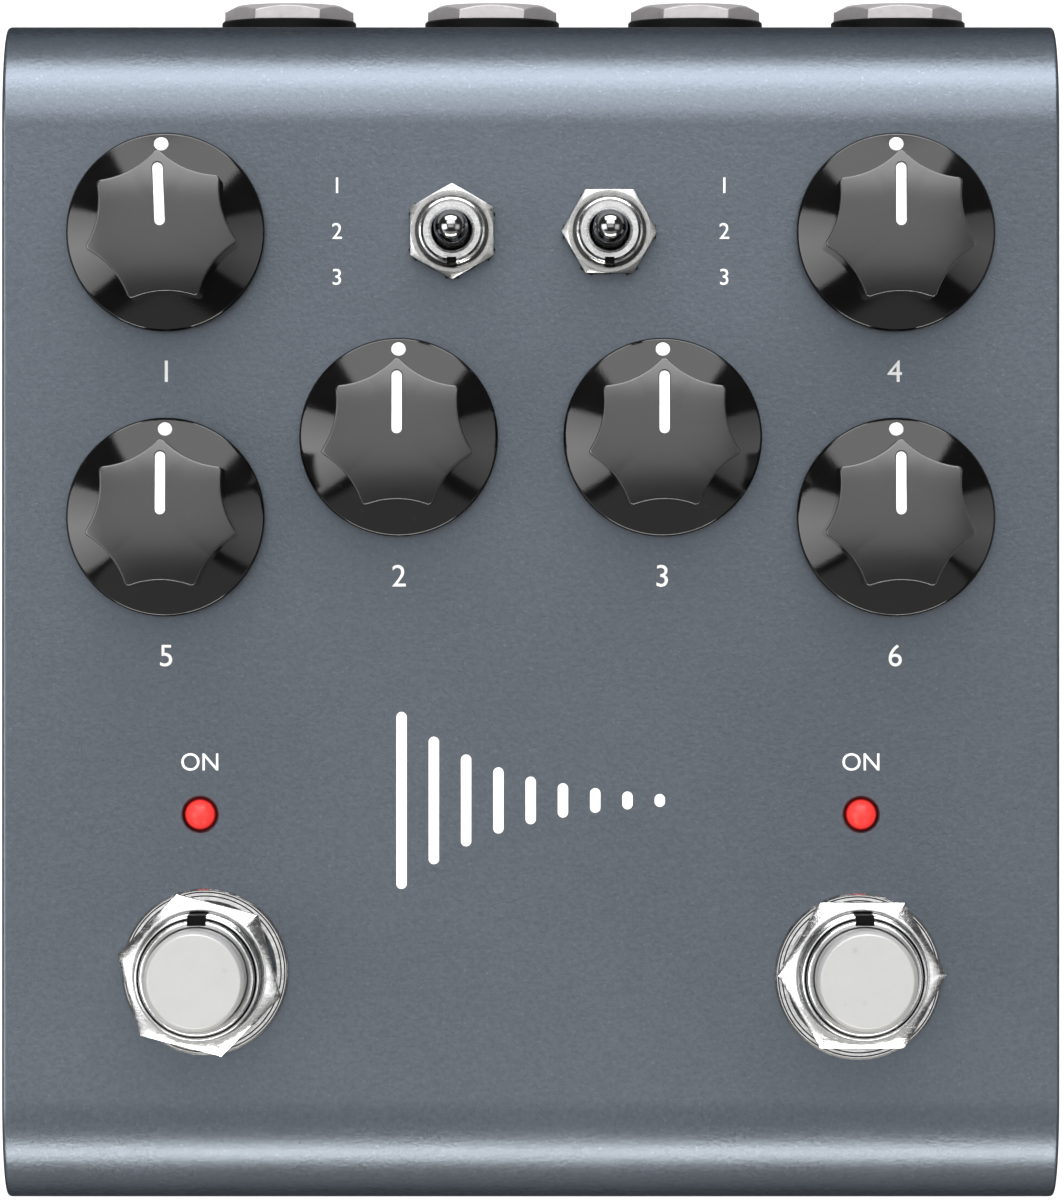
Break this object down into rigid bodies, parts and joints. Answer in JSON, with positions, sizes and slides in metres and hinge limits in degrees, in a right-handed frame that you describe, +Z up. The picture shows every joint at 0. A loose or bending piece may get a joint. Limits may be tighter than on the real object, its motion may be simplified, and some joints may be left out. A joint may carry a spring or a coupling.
{
  "type": "tape echo pedal",
  "caption": "Floor pedal with a slate metal case, fluted black knobs, small toggle switches, red lamps, round footswitches and jack sockets along the rear.",
  "frame": {"origin": "middle of the overall box, on the floor under the feet", "axes": "+Y towards the rear wall with the jacks, +Z up, +X to the player's right"},
  "size_m": [0.1016, 0.1164, 0.0594],
  "materials": {
    "anodised_case": "slate anodised, fine bead-blasted grain",
    "base_metal": "slate anodised",
    "steel_screw": "zinc plated",
    "rubber": "matt black",
    "knob_black": "glossy black phenolic",
    "shaft_metal": "turned",
    "pot_body": "stamped and plated",
    "nickel": "bright nickel plate",
    "satin_nickel": "satin nickel plate",
    "toggle_body": "moulded",
    "lamp_red": "clear red moulded",
    "switch_body": "moulded black",
    "spring_steel": "bright wire",
    "board_green": "solder mask",
    "chip_black": "moulded epoxy",
    "can_metal": "drawn can",
    "jack_plastic": "moulded black",
    "washer_black": "black fibre",
    "contact_metal": "silvered spring metal",
    "ribbon_grey": "flat lead"
  },
  "bodies": {
    "case": {"amplifier_chips": "chip_black", "base_pan": "base_metal", "base_screws": "steel_screw", "button_spring_left": "spring_steel", "button_spring_right": "spring_steel", "filter_capacitors": "can_metal", "footswitch_left": "nickel", "footswitch_lock_nuts": "satin_nickel", "footswitch_nuts": "nickel", "footswitch_right": "nickel", "footswitch_washers": "nickel", "jack_1": "jack_plastic", "jack_2": "jack_plastic", "jack_3": "jack_plastic", "jack_4": "jack_plastic", "jack_contacts": "contact_metal", "jack_nuts": "satin_nickel", "jack_washers": "washer_black", "lamp_left": "lamp_red", "lamp_right": "lamp_red", "lamp_spacers": "switch_body", "main_board": "board_green", "memory_chips": "chip_black", "potentiometer_front_left": "pot_body", "potentiometer_front_right": "pot_body", "potentiometer_middle_left": "pot_body", "potentiometer_middle_right": "pot_body", "potentiometer_nuts": "satin_nickel", "potentiometer_rear_left": "pot_body", "potentiometer_rear_right": "pot_body", "potentiometer_washers": "satin_nickel", "power_inlet": "jack_plastic", "power_inlet_pin": "satin_nickel", "ribbon_headers": "jack_plastic", "ribbon_lead": "ribbon_grey", "rubber_feet": "rubber", "screw_rails": "base_metal", "signal_processor": "chip_black", "switch_board": "board_green", "toggle_nuts": "nickel", "toggle_switch_left": "toggle_body", "toggle_switch_right": "toggle_body", "toggle_washers": "nickel", "top_shell": "anodised_case"},
    "knob_rear_left": {"knob_rear_left": "knob_black", "shaft_rear_left": "shaft_metal"},
    "knob_rear_right": {"knob_rear_right": "knob_black", "shaft_rear_right": "shaft_metal"},
    "knob_middle_left": {"knob_middle_left": "knob_black", "shaft_middle_left": "shaft_metal"},
    "knob_middle_right": {"knob_middle_right": "knob_black", "shaft_middle_right": "shaft_metal"},
    "knob_front_left": {"knob_front_left": "knob_black", "shaft_front_left": "shaft_metal"},
    "knob_front_right": {"knob_front_right": "knob_black", "shaft_front_right": "shaft_metal"},
    "toggle_left": {"toggle_lever_left": "nickel"},
    "toggle_right": {"toggle_lever_right": "nickel"},
    "button_left": {"button_left": "satin_nickel"},
    "button_right": {"button_right": "satin_nickel"}
  },
  "joints": [
    {"name": "turn_rear_left", "type": "hinge", "parent": "case", "child": "knob_rear_left", "pos_m": [-0.035, 0.035, 0.0444], "axis": [0, 0, 1], "range_deg": [-150, 150]},
    {"name": "turn_rear_right", "type": "hinge", "parent": "case", "child": "knob_rear_right", "pos_m": [0.035, 0.035, 0.0444], "axis": [0, 0, 1], "range_deg": [-150, 150]},
    {"name": "turn_middle_left", "type": "hinge", "parent": "case", "child": "knob_middle_left", "pos_m": [-0.01265, 0.01535, 0.0444], "axis": [0, 0, 1], "range_deg": [-150, 150]},
    {"name": "turn_middle_right", "type": "hinge", "parent": "case", "child": "knob_middle_right", "pos_m": [0.01265, 0.01535, 0.0444], "axis": [0, 0, 1], "range_deg": [-150, 150]},
    {"name": "turn_front_left", "type": "hinge", "parent": "case", "child": "knob_front_left", "pos_m": [-0.035, 0.0077, 0.0444], "axis": [0, 0, 1], "range_deg": [-150, 150]},
    {"name": "turn_front_right", "type": "hinge", "parent": "case", "child": "knob_front_right", "pos_m": [0.035, 0.0077, 0.0444], "axis": [0, 0, 1], "range_deg": [-150, 150]},
    {"name": "tip_left", "type": "hinge", "parent": "case", "child": "toggle_left", "pos_m": [-0.00755, 0.0351, 0.0465], "axis": [1, 0, 0], "range_deg": [-12.5, 12.5]},
    {"name": "tip_right", "type": "hinge", "parent": "case", "child": "toggle_right", "pos_m": [0.00755, 0.0351, 0.0465], "axis": [1, 0, 0], "range_deg": [-12.5, 12.5]},
    {"name": "press_left", "type": "slide", "parent": "case", "child": "button_left", "axis": [0, 0, -1], "range_m": [0, 0.0025], "stiffness_N_per_m": 800, "springref_m": -0.004, "deforming": ["button_spring_left"]},
    {"name": "press_right", "type": "slide", "parent": "case", "child": "button_right", "axis": [0, 0, -1], "range_m": [0, 0.0025], "stiffness_N_per_m": 800, "springref_m": -0.004, "deforming": ["button_spring_right"]}
  ]
}
